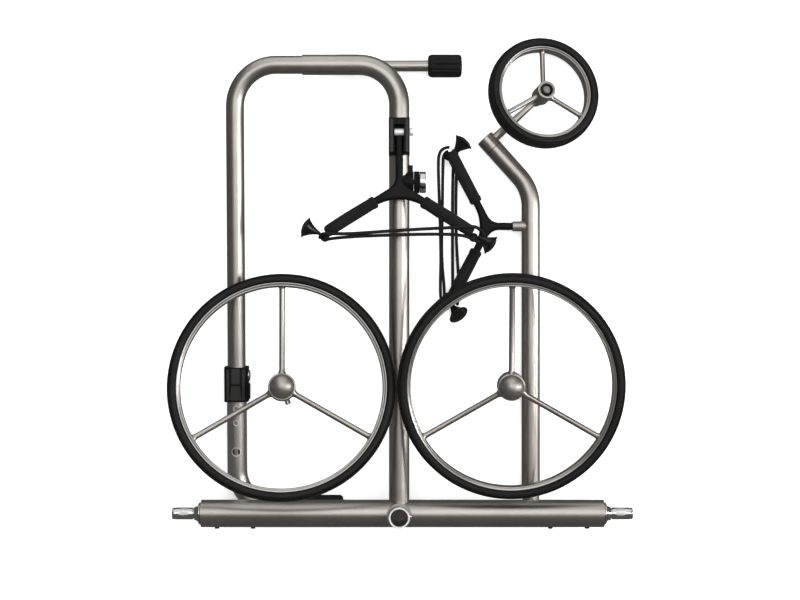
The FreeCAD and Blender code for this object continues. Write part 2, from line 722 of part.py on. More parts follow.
def front_axle():
    """The bolt through the arm and the wheel, with its nut."""
    points = [("0", AXLE_FOOT), ("7", AXLE_FOOT), ("7", BOSS_BOTTOM), ("4", BOSS_BOTTOM)]
    points += [("4", "10.7"), ("4.9", "10.7"), ("4.9", "15.4"), ("4.2", "16.1"), ("0", "16.1")]
    keep(turned(points), "front_axle", front_place)


def spokes(label, place, radius, hub, rim):
    """Three round spokes, cut to the hub barrel and to the inside of the rim."""
    length = rim - hub + 8
    bars = []
    for degrees in (90, 210, 330):
        heading = direction(degrees)
        foot = heading * (hub - 4)
        bars.append(rod(radius, str(length), foot.x, foot.y, 0, axis_along(heading)))
    trimmed = cut(fuse(*bars), rod(str(hub), "60", 0, 0, -30))
    keep(common(trimmed, rod(str(rim), "60", 0, 0, -30)), label, place)


def rim(label, place, inner, outer, half, lip):
    points = [(inner, f"-{half}"), (f"{outer} + {lip}", f"-{half}"), (f"{outer} + {lip}", f"-{half} + 1.2")]
    points += [(outer, f"-{half} + 1.2"), (outer, f"{half} - 1.2"), (f"{outer} + {lip}", f"{half} - 1.2")]
    points += [(f"{outer} + {lip}", half), (inner, half)]
    keep(turned(points), label, place)


def tyre(label, place, inner, outer, half, lip):
    """A solid rubber tyre: its foot sits between the rim's lips and its tread is crowned."""
    points = []
    for side in (-1, 1):
        flank = [(inner, f"{half} - 4.4"), (f"{inner} + {lip}", f"{half} - 4.4"),
                 (f"{inner} + {lip} + 0.3", half)]
        flank += [(f"{outer} - 5.4", half), (f"{outer} - 2.2", f"{half} - 2"),
                  (f"{outer} - 0.5", f"{half} * 0.5")]
        flank = flank if side > 0 else flank[::-1]
        points += [(radius, height if side > 0 else f"-({height})") for radius, height in flank]
    keep(turned(points), label, place)


def front_wheel():
    tyre("front_tyre", front_place, "front_rim_radius", "front_tyre_radius", "front_tyre_half", "1.2")
    rim("front_rim", front_place, "front_rim_radius - 3.4", "front_rim_radius", "front_tyre_half - 3.2", "1.2")
    spokes("front_spokes", front_place, "3.3", 12.0, size("front_rim_radius") - 3.4)
    points = [("4.06", "-18"), ("8.8", "-18"), ("12", "-15"), ("12", "14.5"), ("11.2", "15.5"),
              ("8.7", "15.5")]
    points += [("8.7", "9"), ("4.06", "9")]
    keep(turned(points), "front_hub", front_place)


# The rear wheels -----------------------------------------------------------------------------
# Each wheel turns about its own Z, which leans a little from the vertical.

left_place = FreeCAD.Placement(
    vec(size("left_x"), size("rear_y"), size("rear_height")),
    turn(Y_AXIS, size("left_tip")) * turn(X_AXIS, size("left_lean")),
)
right_place = FreeCAD.Placement(
    vec(size("right_x"), size("rear_y"), size("rear_height")), turn(X_AXIS, size("right_lean"))
)


def rear_hub(label, place):
    """A hub barrel with a domed cap, open at the back for the quick-release core."""
    barrel = rod("hub_radius", "hub_back + 4", 0, 0, -size("hub_back"))
    shoulder = at(primitive("Cone", Radius1="hub_radius", Radius2="dome_radius", Height="1.4"), 0, 0, 4)
    dome = at(primitive("Sphere", Radius="dome_radius"), 0, 0, 4)
    cavity = fuse(
        rod("14", "hub_back + 3", 0, 0, -size("hub_back")),
        at(primitive("Sphere", Radius="13"), 0, 0, 3),
    )
    keep(cut(fuse(barrel, shoulder, dome), cavity), label, place)


def rear_bearings(label, place):
    rings = [at(tube("14", "9.56", "5"), 0, 0, z) for z in (-14.6, -3.0)]
    keep(fuse(*rings), label, place)


PIN_HEIGHT = -26.4
PIN_ANGLE = 292.0


def rear_core(label, place):
    """The quick-release sleeve that slides on the axle stub and carries the wheel's bearings."""
    points = [("core_bore", "-core_back"), ("core_radius - 1.2", "-core_back"),
              ("core_radius", "1.2 - core_back")]
    points += [("core_radius", "-16.4"), ("9.5", "-16.4"), ("9.5", "6"), ("core_bore", "6")]
    way = direction(PIN_ANGLE)
    hole = rod("2.66", "20", way.x * 4, way.y * 4, PIN_HEIGHT, axis_along(way))
    keep(cut(turned(points), hole), label, place)


def release_pin(label, place):
    """The sprung catch that drops into the groove of the stub."""
    points = [("0", "8.3"), ("2.6", "8.3"), ("2.6", "14"), ("3.7", "14.5"), ("3.7", "21.4"),
              ("2.9", "22.4"), ("0", "22.4")]
    keep(turned(points), label, place, vec(0, 0, PIN_HEIGHT), axis_along(direction(PIN_ANGLE)))


def rear_wheel(side, place):
    tyre(f"{side}_tyre", place, "rear_rim_radius", "rear_tyre_radius", "tyre_half", "1.6")
    rim(f"{side}_rim", place, "rim_inner", "rear_rim_radius", "tyre_half - 3.2", "1.6")
    spokes(f"{side}_spokes", place, "spoke_radius", size("hub_radius"), size("rim_inner"))
    rear_hub(f"{side}_hub", place)
    rear_bearings(f"{side}_bearings", place)
    rear_core(f"{side}_core", place)
    release_pin(f"{side}_release_pin", place)


def socket_button():
    """The spring button that locks the front tube in its socket."""
    inner = "socket_bore + 0.1"
    points = [("0", inner), ("button_radius", inner), ("button_radius", "15"), ("2.2", "16"), ("0", "16")]
    base = vec(main_x, axle_y, size("socket_top") - 12)
    keep(turned(points), "socket_button", WORLD, base, AXIS_TO_X)


def build():
    axle_tube()
    axle_screws()
    axle_end_caps()
    axle_stub("left_axle_stub", -1)
    axle_stub("right_axle_stub", 1)
    main_tube()
    socket_tube()
    socket_button()
    umbrella_saddle()
    umbrella_pivot()
    umbrella_arm()
    bracket_clamp()
    hinge_pin()
    accessory_clamp()
    accessory_knob()
    handle_upper_tube()
    handle_lower_tube()
    height_collar()
    height_button()
    handle_grip()
    upper_bracket()
    lower_bracket()
    front_tube()
    front_spigot()
    bracket_stub()
    steering_collar()
    fork_arm()
    front_axle()
    front_wheel()
    rear_wheel("left", left_place)
    rear_wheel("right", right_place)


def check_and_write():
    doc.recompute()
    for obj in doc.Objects:
        if "Invalid" in obj.State or "Error" in obj.State:
            raise RuntimeError(f"{obj.Name} ({obj.Label}) did not compute: {obj.State}")
    for obj in parts:
        if obj.Shape.isNull() or not obj.Shape.isValid():
            raise RuntimeError(f"{obj.Label} has no valid shape")
    os.makedirs("parts", exist_ok=True)
    for obj in parts:
        obj.Shape.exportStep(f"parts/{obj.Label}.step")
    whole = FreeCAD.BoundBox()
    for obj in parts:
        whole.add(obj.Shape.optimalBoundingBox(False))
    print(f"{len(parts)} nodes, x {whole.XMin:.2f} {whole.XMax:.2f}, y {whole.YMin:.2f} {whole.YMax:.2f}, "
          f"z {whole.ZMin:.2f} {whole.ZMax:.2f}")


build()
check_and_write()
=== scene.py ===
"""Three-wheel golf trolley, dismantled and laid flat: the looks, built round the CAD frame.

Drawing coordinates are the CAD source's own, in millimetres. spot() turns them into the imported
frame in metres.
"""

import math
import random
from collections import namedtuple

import bmesh
import bpy
from mathutils import Matrix, Quaternion, Vector


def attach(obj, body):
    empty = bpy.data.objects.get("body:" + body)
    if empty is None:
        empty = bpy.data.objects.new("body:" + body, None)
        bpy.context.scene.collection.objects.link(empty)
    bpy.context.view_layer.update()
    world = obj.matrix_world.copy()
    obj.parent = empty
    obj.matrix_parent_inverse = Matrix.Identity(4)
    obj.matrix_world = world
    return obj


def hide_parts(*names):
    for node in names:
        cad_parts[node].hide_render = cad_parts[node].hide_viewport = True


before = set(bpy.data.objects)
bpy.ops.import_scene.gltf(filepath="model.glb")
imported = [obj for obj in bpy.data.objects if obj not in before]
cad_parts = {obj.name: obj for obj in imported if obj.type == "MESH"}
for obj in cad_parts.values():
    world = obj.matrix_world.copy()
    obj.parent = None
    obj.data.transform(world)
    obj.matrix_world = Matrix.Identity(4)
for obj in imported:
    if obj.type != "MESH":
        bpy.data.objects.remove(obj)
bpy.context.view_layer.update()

MM = 0.001
SHIFT = Vector((-1.6, 0.77, 0.0))
UP = Vector((0, 0, 1))
# The main tube, the folded handle and the axle tube, in drawing millimetres.
MAIN_X = -2.7
HANDLE_X = -219.8
AXLE_X, AXLE_Y, AXLE_Z = 1.6, -306.2, 52
AXLE_HALF_LENGTH = 265
scene = bpy.context.scene


# Places and directions -------------------------------------------------------------------------


def spot(x, y, z):
    return (Vector((x, y, z)) + SHIFT) * MM


def heading(degrees):
    return Vector((math.cos(math.radians(degrees)), math.sin(math.radians(degrees)), 0))


def place(x, y, z, rotation=Quaternion()):
    return Matrix.Translation(spot(x, y, z)) @ rotation.to_matrix().to_4x4()


def along(direction):
    """The turn that takes +Z to a direction."""
    return UP.rotation_difference(Vector(direction))


def tip(axis, degrees):
    return Quaternion(axis, math.radians(degrees))


# Materials -------------------------------------------------------------------------------------


def node(tree, kind, **inputs):
    made = tree.nodes.new(kind)
    for name, value in inputs.items():
        made.inputs[name.replace("_", " ")].default_value = value
    return made


def colour(value, tint=(1.0, 1.0, 1.0)):
    return (value * tint[0], value * tint[1], value * tint[2], 1.0)


def finish(name, low, high, tint=(1.0, 1.0, 1.0), metallic=0.0, rough=(0.4, 0.5), grain=900.0, bump=0.1,
           cloud=30.0, sheen=0.0, coat=0.0, shine=0.5, stretch=(1.0, 1.0, 1.0), cells=False):
    """A surface with clouded colour and roughness and a fine grain in its bump."""
    made = bpy.data.materials.new(name)
    made.use_nodes = True
    tree = made.node_tree
    shader = tree.nodes["Principled BSDF"]
    links = tree.links
    shader.inputs["Metallic"].default_value = metallic
    shader.inputs["Specular IOR Level"].default_value = shine
    shader.inputs["Sheen Weight"].default_value = sheen
    shader.inputs["Sheen Roughness"].default_value = 0.4
    shader.inputs["Coat Weight"].default_value = coat
    shader.inputs["Coat Roughness"].default_value = 0.25
    where = node(tree, "ShaderNodeTexCoord")
    stretched = node(tree, "ShaderNodeMapping", Scale=stretch)
    links.new(where.outputs["Object"], stretched.inputs["Vector"])
    clouds = node(tree, "ShaderNodeTexNoise", Scale=cloud, Detail=5.0, Roughness=0.6)
    links.new(stretched.outputs["Vector"], clouds.inputs["Vector"])
    tone = tree.nodes.new("ShaderNodeValToRGB")
    tone.color_ramp.elements[0].position = 0.3
    tone.color_ramp.elements[1].position = 0.7
    tone.color_ramp.elements[0].color = colour(low, tint)
    tone.color_ramp.elements[1].color = colour(high, tint)
    links.new(clouds.outputs["Fac"], tone.inputs["Fac"])
    links.new(tone.outputs["Color"], shader.inputs["Base Color"])
    fine = node(tree, "ShaderNodeTexNoise", Scale=grain * 0.25, Detail=2.0)
    links.new(stretched.outputs["Vector"], fine.inputs["Vector"])
    spread = node(tree, "ShaderNodeMapRange", To_Min=rough[0], To_Max=rough[1])
    links.new(fine.outputs["Fac"], spread.inputs["Value"])
    links.new(spread.outputs["Result"], shader.inputs["Roughness"])
    if cells:
        grit = node(tree, "ShaderNodeTexVoronoi", Scale=grain)
        height = grit.outputs["Distance"]
    else:
        grit = node(tree, "ShaderNodeTexNoise", Scale=grain, Detail=3.0)
        height = grit.outputs["Fac"]
    links.new(stretched.outputs["Vector"], grit.inputs["Vector"])
    raised = node(tree, "ShaderNodeBump", Strength=bump, Distance=0.0004)
    links.new(height, raised.inputs["Height"])
    links.new(raised.outputs["Normal"], shader.inputs["Normal"])
    return made


WARM = (1.0, 0.935, 0.87)
NEUTRAL = (1.0, 0.99, 0.98)
WHITE = (1.0, 1.0, 1.0)

# Each finish: name, darkest and lightest tone, tint, metallic, roughness, grain, bump and cloud scale.
titanium = finish("satin titanium", 0.48, 0.56, WARM, 1.0, (0.32, 0.40), 1500.0, 0.10, 18.0)
hub_metal = finish("hub titanium", 0.48, 0.56, WARM, 1.0, (0.42, 0.50), 1500.0, 0.10, 40.0)
# Smoother titanium for the lower handle tube, with its tone raised above the other titanium as a painted
# highlight.
polished_painted_highlight = finish("polished titanium", 0.66, 0.76, (1.0, 0.96, 0.915), 1.0, (0.28, 0.36), 1500.0, 0.10, 18.0)
# Darker, duller finish for the floor down the socket's bore: painted shade.
bore_painted_shade = finish("painted shade down the bore", 0.16, 0.26, (1.0, 0.89, 0.77), 0.2, (0.45, 0.6), 900.0, 0.2, 60.0)
rim_metal = finish("rim metal", 0.50, 0.58, (1.0, 0.965, 0.93), 1.0, (0.26, 0.36), 1200.0, 0.10, 25.0)
bright = finish("bright steel", 0.66, 0.80, (1.0, 0.995, 0.985), 1.0, (0.14, 0.24), 700.0, 0.08, 60.0)
# Light steel for the hinge barrel and pin; the same finish paints a highlight on the socket's rim and the
# catch holes' rims.
light_steel_and_highlight = finish("brushed steel and painted highlight", 0.80, 0.90, NEUTRAL, 0.6, (0.45, 0.6), 900.0, 0.1, 50.0)
# Dark steel for the bearings, screws, seals and weld seam; the same finish paints shade in the end caps'
# edge rings and down the catch holes.
dark_steel_and_shade = finish("dark steel and painted shade", 0.03, 0.06, (1.0, 0.97, 0.94), 1.0, (0.35, 0.5), 900.0, 0.12, 60.0)
rubber = finish("tyre rubber", 0.004, 0.009, (1.0, 0.985, 0.97), 0.0, (0.46, 0.62), 700.0, 0.28, 22.0,
                shine=0.22)
plastic = finish("black plastic", 0.003, 0.006, NEUTRAL, 0.0, (0.38, 0.5), 1100.0, 0.22, 40.0, shine=0.12)
# A lighter, shinier copy of the black plastic for raised bands and rails: a painted highlight.
painted_highlight_plastic = finish("plastic with painted highlight", 0.012, 0.018, NEUTRAL, 0.0, (0.4, 0.5), 1100.0, 0.2, 40.0,
                         shine=0.35)
foam = finish("foam", 0.007, 0.013, (1.0, 0.99, 0.985), 0.0, (0.8, 0.95), 900.0, 0.55, 60.0, sheen=0.04,
              shine=0.15, cells=True)
grip_rubber = finish("grip rubber", 0.004, 0.008, NEUTRAL, 0.0, (0.5, 0.62), 900.0, 0.3, 40.0, shine=0.2)
gloss_plastic = finish("gloss plastic", 0.004, 0.007, WHITE, 0.0, (0.2, 0.3), 800.0, 0.08, 50.0, shine=0.4)


def cord_finish():
    """Elastic cord: a braided sleeve, its crossing strands raised along the cord."""
    made = finish("elastic cord", 0.006, 0.012, WHITE, 0.0, (0.6, 0.75), 900.0, 0.2, 80.0, shine=0.2)
    tree = made.node_tree
    links = tree.links
    where = node(tree, "ShaderNodeTexCoord")
    waves = []
    for turn in (0.7, -0.7):
        turned = node(tree, "ShaderNodeMapping", Rotation=(0.0, turn, turn))
        links.new(where.outputs["Object"], turned.inputs["Vector"])
        wave = node(tree, "ShaderNodeTexWave", Scale=420.0, Distortion=0.0)
        links.new(turned.outputs["Vector"], wave.inputs["Vector"])
        waves.append(wave)
    both = tree.nodes.new("ShaderNodeMath")
    both.operation = "MAXIMUM"
    links.new(waves[0].outputs["Fac"], both.inputs[0])
    links.new(waves[1].outputs["Fac"], both.inputs[1])
    raised = node(tree, "ShaderNodeBump", Strength=0.5, Distance=0.0003)
    links.new(both.outputs["Value"], raised.inputs["Height"])
    links.new(raised.outputs["Normal"], tree.nodes["Principled BSDF"].inputs["Normal"])
    return made


elastic = cord_finish()


# Mesh helpers ----------------------------------------------------------------------------------


def add(name, mesh, material, body, replaced=(), sharp=38.0):
    """Puts a mesh in the scene as a piece of the object."""
    obj = bpy.data.objects.new(name, mesh)
    scene.collection.objects.link(obj)
    mesh.materials.clear()
    mesh.materials.append(material)
    mesh.shade_smooth()
    mesh.set_sharp_from_angle(angle=math.radians(sharp))
    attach(obj, body)
    if replaced:
        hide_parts(*replaced)
    return obj


def mesh_of(bm, name):
    bmesh.ops.recalc_face_normals(bm, faces=bm.faces)
    mesh = bpy.data.meshes.new(name)
    bm.to_mesh(mesh)
    bm.free()
    return mesh


def turned(bm, profile, where, steps=96, radius_at=None, closed=False):
    """Adds a lathed surface to bm. profile holds (radius, height) in mm. radius_at can reshape it."""
    rings = []
    for radius, height in profile:
        if radius == 0:
            rings.append([bm.verts.new(where @ Vector((0, 0, height * MM)))])
            continue
        ring = []
        for k in range(steps):
            angle = 2 * math.pi * k / steps
            r = radius_at(angle, radius, height) if radius_at else radius
            point = Vector((r * math.cos(angle), r * math.sin(angle), height)) * MM
            ring.append(bm.verts.new(where @ point))
        rings.append(ring)
    pairs = list(zip(rings, rings[1:]))
    if closed:
        pairs.append((rings[-1], rings[0]))
    for a, b in pairs:
        for k in range(steps):
            j = (k + 1) % steps
            if len(a) == 1 and len(b) > 1:
                bm.faces.new((a[0], b[k], b[j]))
            elif len(b) == 1 and len(a) > 1:
                bm.faces.new((a[k], a[j], b[0]))
            elif len(a) > 1:
                bm.faces.new((a[k], a[j], b[j], b[k]))


def lathe(name, profile, where, material, body, replaced=(), steps=96, radius_at=None, closed=False,
          sharp=38.0):
    bm = bmesh.new()
    turned(bm, profile, where, steps, radius_at, closed)
    return add(name, mesh_of(bm, name), material, body, replaced, sharp)


def arc(radius, height, size, start, end, steps=6):
    """Points of a rounded corner: centre (radius, height), size, from start to end degrees."""
    points = []
    for k in range(steps + 1):
        a = math.radians(start + (end - start) * k / steps)
        points.append((radius + size * math.cos(a), height + size * math.sin(a)))
    return points


def swept(points, radius, name, steps=10):
    """A round rod along a smooth line through control points, as a mesh."""
    curve = bpy.data.curves.new(name, "CURVE")
    curve.dimensions = "3D"
    for route in points:
        spline = curve.splines.new("NURBS")
        spline.points.add(len(route) - 1)
        for point, where in zip(spline.points, route):
            point.co = (*spot(*where), 1.0)
        spline.order_u = 3
        spline.use_endpoint_u = True
        spline.resolution_u = 14
    curve.bevel_depth = radius * MM
    curve.bevel_resolution = steps
    curve.use_fill_caps = True
    holder = bpy.data.objects.new(name, curve)
    scene.collection.objects.link(holder)
    bpy.context.view_layer.update()
    mesh = bpy.data.meshes.new_from_object(holder.evaluated_get(bpy.context.evaluated_depsgraph_get()))
    bpy.data.objects.remove(holder)
    return mesh


def moulded(outline, edge, flat, name, where):
    """A plate with a fully rounded rim. outline is in mm in the plate's own plane."""
    curve = bpy.data.curves.new(name, "CURVE")
    curve.dimensions = "2D"
    curve.fill_mode = "BOTH"
    spline = curve.splines.new("POLY")
    spline.points.add(len(outline) - 1)
    for point, (x, y) in zip(spline.points, outline):
        point.co = (x * MM, y * MM, 0.0, 1.0)
    spline.use_cyclic_u = True
    curve.extrude = flat * MM
    curve.bevel_depth = edge * MM
    curve.bevel_resolution = 6
    curve.offset = -edge * MM
    holder = bpy.data.objects.new(name, curve)
    scene.collection.objects.link(holder)
    bpy.context.view_layer.update()
    mesh = bpy.data.meshes.new_from_object(holder.evaluated_get(bpy.context.evaluated_depsgraph_get()))
    bpy.data.objects.remove(holder)
    mesh.transform(where)
    return mesh


def star(legs, half, fillets, arc_steps=14):
    """The outline of rods that meet at the origin, with a fillet between each pair.

    legs holds each rod's heading in degrees and its length.
    """
    outline = []
    count = len(legs)
    for k in range(count):
        degrees, length = legs[k]
        after = legs[(k + 1) % count][0]
        out, side = heading(degrees), heading(degrees + 90)
        outline.append(tuple((out * length - side * half)[:2]))
        outline.append(tuple((out * length + side * half)[:2]))
        gap = (after - degrees) % 360
        radius = fillets[k]
        middle = heading(degrees + gap / 2)
        centre = middle * ((half + radius) / math.sin(math.radians(gap / 2)))
        first = degrees + 90 + 180
        last = degrees + gap - 90 - 180
        turn = ((last - first) + 180) % 360 - 180
        for step in range(arc_steps + 1):
            point = centre + heading(first + turn * step / arc_steps) * radius
            outline.append((point.x, point.y))
    return outline


# Wheels ----------------------------------------------------------------------------------------

WheelSize = namedtuple("WheelSize", "tread seat bore tyre_half rim_half lip spoke spoke_start steps")
REAR = WheelSize(tread=147.6, seat=134, bore=130.4, tyre_half=10.8, rim_half=7.6, lip=1.6, spoke=3.7,
                 spoke_start=18, steps=240)
FRONT = WheelSize(tread=75, seat=61.5, bore=58.1, tyre_half=12.2, rim_half=9.0, lip=1.2, spoke=3.3,
                  spoke_start=12, steps=192)
SPOKE_HEADINGS = (90, 210, 330)


def mirrored(points):
    """The same points below the wheel's middle plane, in the order that closes a section."""
    return [(radius, -height) for radius, height in reversed(points)]


def tyre(label, where, size, body):
    """A solid tyre: its foot is between the rim's lips, with moulded ridge lines round a crowned tread."""
    foot, outer, half = size.seat + size.lip, size.tread, size.tyre_half
    side = [(foot, half - 4.4), (foot + 0.3, half - 3.6), (foot + 1.0, half - 3.2)]
    side += [(foot + 1.3, half - 0.5), (foot + 1.9, half)]
    side += [(outer - 4.8, half), (outer - 4.1, half - 0.6), (outer - 3.8, half - 3.4)]
    side += [(outer - 3.0, half - 3.6), (outer - 2.7, half - 1.6), (outer - 2.0, half - 2.2)]
    side += [(outer - 1.0, half - 4.4), (outer - 0.5, half * 0.42), (outer - 0.1, half * 0.16)]
    profile = [(size.seat, half - 4.5)] + side + mirrored(side) + [(size.seat, 4.5 - half)]
    lathe(label, profile, where, rubber, body, (label,), size.steps, closed=True, sharp=50.0)


def rim(label, where, size, body):
    """A rolled rim: two rounded lips with a shallow well between, and a smooth inner wall."""
    inner, outer, half, lip = size.bore, size.seat, size.rim_half, size.lip
    lips = arc(outer + lip - 0.6, half - 0.6, 0.6, 0, 90, 4)
    lips += [(outer + 0.2, half), (outer - 0.5, half - 0.5)]
    corner = [(inner + 2.0, half - 1.5)] + arc(inner + 1.4, half - 2.4, 1.0, 80, 180, 5)
    wall = [(inner, half * 0.5), (inner + 0.25, half * 0.35)]
    section = [(outer, 1.4 - half), (outer, half - 1.4), (outer + lip, half - 1.3)]
    section += lips + corner + wall + mirrored(wall) + mirrored(corner) + mirrored(lips)
    section += [(outer + lip, 1.3 - half)]
    lathe(label, section, where, rim_metal, body, (label,), size.steps, closed=True, sharp=50.0)


def spokes(label, where, size, body):
    """Three round spokes with a small weld fillet at the hub and at the rim."""
    radius, hub, reach = size.spoke, size.spoke_start, size.bore
    profile = [(0, hub - 1.2), (radius + 2.2, hub - 1.2), (radius + 1.1, hub + 0.9)]
    profile += [(radius + 0.4, hub + 2.2), (radius, hub + 4.2), (radius, reach - 3.6)]
    profile += [(radius + 0.4, reach - 1.9), (radius + 1.2, reach - 0.6), (radius + 1.9, reach + 0.3)]
    profile += [(0, reach + 0.3)]
    bm = bmesh.new()
    for degrees in SPOKE_HEADINGS:
        spoke = where @ along(heading(degrees)).to_matrix().to_4x4()
        turned(bm, profile, spoke, 28)
    add(label, mesh_of(bm, label), titanium, body, (label,))


def rear_hub(label, where, body):
    """A domed shell, open underneath for the bearings."""
    dome = [(16.9, -15)] + arc(17, -14, 1, -90, 0, 3)[1:] + [(18, 3.2)]
    dome += arc(17.2, 3.2, 0.8, 0, 90, 4)[1:] + [(16.4, 4.2)]
    for k in range(14):
        climb = k / 14 * math.pi / 2
        dome.append((16.05 * math.cos(climb), 4.2 + 15.6 * math.sin(climb)))
    dome.append((0, 19.8))
    bm = bmesh.new()
    turned(bm, dome, where, 72)
    turned(bm, [(14, -15), (14, 3), (9, 12.5), (0, 15.5)], where, 72)
    turned(bm, [(14, -15), (16.9, -15)], where, 72)
    bmesh.ops.remove_doubles(bm, verts=bm.verts, dist=1e-6)
    add(label, mesh_of(bm, label), hub_metal, body, (label,), 30.0)


def rear_wheel(side, x, lean):
    where = place(x, -136.8, 92, lean)
    body = f"{side}_wheel"
    tyre(f"{side}_tyre", where, REAR, body)
    rim(f"{side}_rim", where, REAR, body)
    spokes(f"{side}_spokes", where, REAR, body)
    rear_hub(f"{side}_hub", where, body)


TUBE_HEADING = heading(132)
ARM_HEADING = heading(42)
FRONT_TUBE_FOOT = Vector((174.2, 124.3, 12.3))
FRONT_TUBE_LENGTH = 92.8
STEERING_AXIS = FRONT_TUBE_FOOT + TUBE_HEADING * (FRONT_TUBE_LENGTH - 9.25)
FRONT_HUB = STEERING_AXIS + ARM_HEADING * 95


def fork_arm(wheel):
    """The single arm: a tapering rod from the steering collar to a short boss under the hub."""
    start = STEERING_AXIS + ARM_HEADING * 6
    rod = [(0, 0), (5.4, 0), (5.4, 14), (5.1, 30), (4.3, 55), (3.7, 76), (3.2, 79), (0, 80)]
    boss = [(4.02, -33.4), (6.6, -33.4), (7.2, -32.8), (7.2, -25.0), (6.6, -24.2), (4.02, -24.2)]
    bm = bmesh.new()
    turned(bm, rod, place(start.x, start.y, start.z, along(ARM_HEADING)), 48)
    turned(bm, boss, wheel, 48, closed=True)
    add("fork_arm", mesh_of(bm, "fork"), titanium, "fork", ("fork_arm",))


def front_hub(wheel):
    """A short barrel hub with a rounded collar and a recess for its bearing and nut."""
    barrel = [(4.06, -18), (8.4, -18), (8.8, -17.6), (11.4, -15.4), (12, -14.6), (12, 14.2)]
    barrel += arc(11.2, 14.6, 0.9, 10, 90, 4) + [(9.4, 15.5), (8.7, 14.9), (8.7, 9), (4.06, 9)]
    lathe("front_hub", barrel, wheel, hub_metal, "front_wheel", ("front_hub",), 64, closed=True)


def front_axle(wheel):
    """The bolt from the fork's boss up through the hub, with its nut in the hub's top."""
    bolt = [(0, -37.3), (6.6, -37.3), (7, -36.9), (7, -33.5), (3.9, -33.5), (3.9, 10.7)]
    bolt += [(4.6, 10.7), (4.9, 11.1), (4.9, 15.4), (4.3, 16.1), (2.4, 16.1), (2.0, 15.2), (0, 15.2)]
    lathe("front_axle", bolt, wheel, bright, "fork", ("front_axle",), 48)


def front_bearing_seal(wheel):
    """The grooved ring that closes the bearing at the bottom of the hub's recess."""
    seal = [(4.2, 9.05), (8.6, 9.05), (8.6, 10.4), (7.6, 10.6), (7.2, 10.1), (5.6, 10.1), (5.2, 10.6)]
    seal += [(4.2, 10.6)]
    lathe("front_bearing_seal", seal, wheel, dark_steel_and_shade, "front_wheel", steps=64, closed=True)


def front_wheel():
    where = place(FRONT_HUB.x, FRONT_HUB.y, 38, tip(TUBE_HEADING, 15))
    tyre("front_tyre", where, FRONT, "front_wheel")
    rim("front_rim", where, FRONT, "front_wheel")
    spokes("front_spokes", where, FRONT, "front_wheel")
    front_hub(where)
    front_axle(where)
    fork_arm(where)
    front_bearing_seal(where)


rear_wheel("left", -154.2, tip((0, 1, 0), 4) @ tip((1, 0, 0), -8))
rear_wheel("right", 142.3, tip((1, 0, 0), 6))
front_wheel()


# Bag brackets ----------------------------------------------------------------------------------


def pad(name, where, degrees, body):
    """A foam sleeve: slightly swollen, with soft ends, a hem band and small dents."""
    rng = random.Random(int(degrees))
    waves = [(rng.uniform(0.02, 0.09), rng.uniform(0, 6.28), rng.randint(1, 4)) for _ in range(5)]
    start, end, full = 36.0, 113.0, 8.1
    profile = [(5.2, start + 0.6), (6.5, start), (7.3, start + 0.5), (full + 0.25, start + 1.8)]
    profile += [(full + 0.3, start + 6.0), (full - 0.15, start + 6.9), (full - 0.2, start + 8.0)]
    for k in range(1, 24):
        share = k / 24
        swell = 0.35 * math.sin(math.pi * share)
        profile.append((full - 0.25 + swell, start + 8 + (end - start - 12) * share))
    profile += [(full - 0.3, end - 4.4), (full - 0.8, end - 2.8), (full - 1.7, end - 1.4), (5.0, end - 0.4)]
    profile += [(3.4, end)]

    def shape(angle, radius, height):
        wobble = sum(size * math.sin(count * angle + phase + height * 0.07) for size, phase, count in waves)
        return radius + wobble

    arm = where @ along(heading(degrees)).to_matrix().to_4x4()
    made = lathe(name, profile, arm, foam, body, (name,), 72, shape, sharp=60.0)


def hook(name, where, arm, degrees, body, reach, rise=0.0):
    """A flared hook: a slim neck that opens like a trumpet to a wide, gently domed face."""
    profile = [(0, 3.0), (2.2, 3.2), (2.5, 5.0), (3.3, 7.5), (4.5, 10.5), (6.2, 14.0), (8.4, 17.5)]
    profile += [(10.8, 20.6), (13.0, 23.0)] + arc(13.4, 23.8, 0.7, -60, 90, 5)
    profile += [(12.6, 24.9), (12.0, 24.2), (11.2, 24.6), (9.6, 26.2), (6.5, 27.4), (3.2, 28.1), (0, 28.3)]
    base = heading(arm) * reach * MM
    aim = heading(degrees) * math.cos(math.radians(rise)) + UP * math.sin(math.radians(rise))
    spin = where @ Matrix.Translation(base) @ along(aim).to_matrix().to_4x4()
    lathe(name, profile, spin, gloss_plastic, body, (name,), 72, sharp=45.0)


def yoke(name, where, legs, fillets, body, reach):
    """The moulded Y of a bracket, with a rounded ball beside each arm's end for the cord."""
    bm = bmesh.new()
    bm.from_mesh(moulded(star(legs, 5.0, fillets), 4.5, 0.5, name, where))
    for degrees, side in ((legs[1][0], 90), (legs[2][0], -90)):
        centre = heading(degrees) * reach + heading(degrees + side) * 5
        ball = where @ Matrix.Translation(centre * MM) @ along(heading(degrees)).to_matrix().to_4x4()
        turned(bm, [(0, -6)] + arc(0, 0, 6, -75, 75, 10) + [(0, 6)], ball, 32)
    add(name, mesh_of(bm, name), plastic, body, (name,), 50.0)


def bracket(label, where, legs, fillets, reach, hooks):
    """One bag bracket. hooks are (side, arm heading, hook heading, distance along the arm, rise)."""
    body = f"{label}_bracket"
    yoke(f"{label}_yoke", where, legs, fillets, body, reach)
    for side, arm, flare, distance, rise in hooks:
        pad(f"{label}_{side}_pad", where, arm, body)
        hook(f"{label}_{side}_hook", where, arm, flare, body, distance, rise)


bracket("upper", place(MAIN_X, 123, 78), [(90, 66.5), (212, 112), (328, 112)], (17, 62, 17), 117,
        (("left", 212, 157, 118, 0), ("right", 328, 324, 118, 0)))
bracket("lower", place(118, 74.2, 15.5, tip(UP, -90)), [(90, 41.6), (207.5, 110), (332.5, 110)],
        (17, 55, 17), 109, (("front", 207.5, 139.7, 107.5, 0), ("rear", 332.5, 37.4, 116, 33)))

